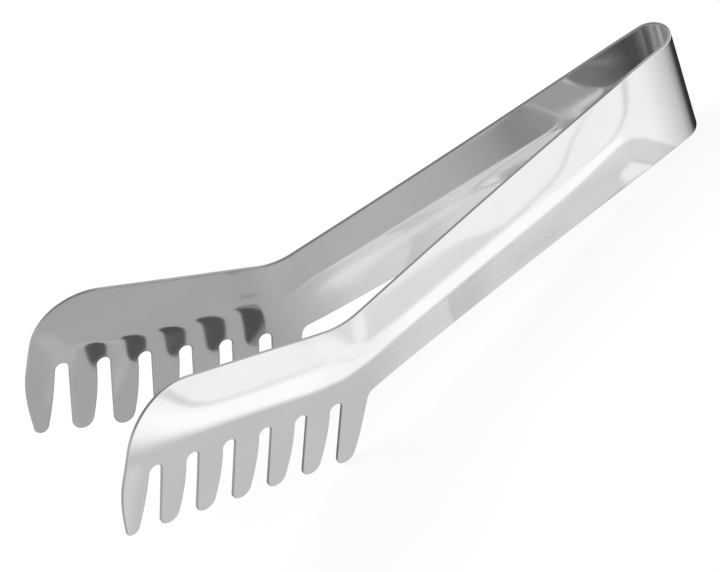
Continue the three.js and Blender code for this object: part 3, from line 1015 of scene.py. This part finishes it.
def under_arm():
    """Painted light: the pale floor under each arm, as the metal shows it."""
    x, inner, outer, covers = columns_of(UNDER_ARM)
    rows = floor_rows(x, -inner, -outer, -outer - UNDER_ARM_FADE)
    both_sides("under_arm", rows, UNDER_ARM_LEVEL, np.outer([1, 1, 0], covers), bright_card)


def under_combs():
    """Painted shade: the grey floor under the combs, and the dark stretch on it."""
    x, half, covers = columns_of(COMB_FLOOR)
    card("comb_floor", floor_rows(x, -half, 0, half), COMB_FLOOR_LEVEL, covers, bright_card)
    x, low, high = columns_of(COMB_SHADOW)
    floor_patch("comb_shadow", x, low, high, np.ones(len(x)), COMB_SHADOW_LEVEL, COMB_SHADOW_FEATHER)


def far_shade():
    """Painted shade: a grey patch on the floor past the far arm."""
    x, low, covers = columns_of(FAR_SHADE)
    floor_edge("far_shade", x, low, FAR_SHADE_END, covers, FAR_SHADE_LEVEL, FAR_SHADE_FEATHER)


def near_foot():
    """Painted light: a paler strip of floor along the near arm's foot."""
    x, covers = columns_of(NEAR_FOOT)
    rows = floor_rows(x, *NEAR_FOOT_REACH)
    card("near_foot", rows, NEAR_FOOT_LEVEL, np.outer([0, 1, 1, 0], covers), bright_card)


def flank_film():
    """A film of painted shade that takes the glare off the near arm's lower flank."""
    x, y, level = columns_of(FLANK_FILM)
    wide, middle = FLANK_FILM_REACH
    full = np.ones(len(x))
    rows = floor_rows(x, y - wide, y - middle, y + middle, y + wide)
    card("flank_film", rows, np.stack([full, level, level, full]), 1, shade_film)


def gleam_card():
    """A pale patch that paints the streak of reflection inside the far arm."""
    x, low, high, covers = columns_of(GLEAM)
    floor_patch("gleam_card", x, low, high, covers, GLEAM_LEVEL, GLEAM_FEATHER)


white_card()
# painted highlights, reflections and lines on the near arm, mirrored onto the far side
panel("ridge_band", across_strip(RIDGE_BAND) + across_head(HEAD_BAND))
panel("wedge_card", across_strip(WEDGE, *WEDGE_FINISH))
panel("bow_patch", [(*columns, *BOW_PATCH_FINISH) for columns in BOW_PATCH])
panel("glint_card", across_strip(GLINT, *GLINT_FINISH))
panel("front_tine_card", across_head(FRONT_TINE, *FRONT_TINE_FINISH))
line("bow_line", BOW_LINE, LINE_FEATHER)
line("flank_line", FLANK_LINE, LINE_FEATHER)
line("head_line", on_head(HEAD_LINE), HEAD_LINE_FEATHER)
flank_dip()
bow_flag()
between_floor()
bow_wedge()
under_arm()
under_combs()
far_shade()
near_foot()
flank_film()
gleam_card()

# The room and its light


def add_room():
    """White to the camera; walls and a greyer ceiling in the metal; a soft even light on the rest."""
    world = bpy.data.worlds.new("studio")
    bpy.context.scene.world = world
    world.use_nodes = True
    tree = world.node_tree
    tree.nodes.clear()
    path = add_node(tree, "ShaderNodeLightPath")
    direction = add_node(tree, "ShaderNodeTexCoord").outputs["Generated"]
    climb = add_node(tree, "ShaderNodeSeparateXYZ", None, {"Vector": direction}).outputs["Z"]
    ceiling = mapped(tree, climb, CEILING_RISE, (WALL_LEVEL, CEILING_LEVEL), "SMOOTHSTEP")
    to_metal = add_node(tree, "ShaderNodeMix", {"data_type": "FLOAT"}, {
        0: seen_in_metal(tree, path), 2: ROOM_LIGHT, 3: ceiling,
    })
    strength = add_node(tree, "ShaderNodeMix", {"data_type": "FLOAT"}, {
        0: path.outputs["Is Camera Ray"], 2: to_metal.outputs[0], 3: 1.0,
    })
    background = add_node(tree, "ShaderNodeBackground", None, {
        "Color": grey(1), "Strength": strength.outputs[0],
    })
    add_node(tree, "ShaderNodeOutputWorld", None, {"Surface": background.outputs[0]})


def add_softbox():
    lamp = bpy.data.lights.new("key_softbox", "AREA")
    lamp.size = LAMP_SIZE * MM
    lamp.energy = LAMP_POWER
    obj = add_object("key_softbox", lamp)
    place = Vector(LAMP_PLACE) * MM
    obj.location = place
    obj.rotation_euler = (Vector(LAMP_AIM) * MM - place).to_track_quat("-Z", "Y").to_euler()
    obj.visible_glossy = False


add_room()
add_softbox()

bpy.context.scene.view_settings.view_transform = "Standard"
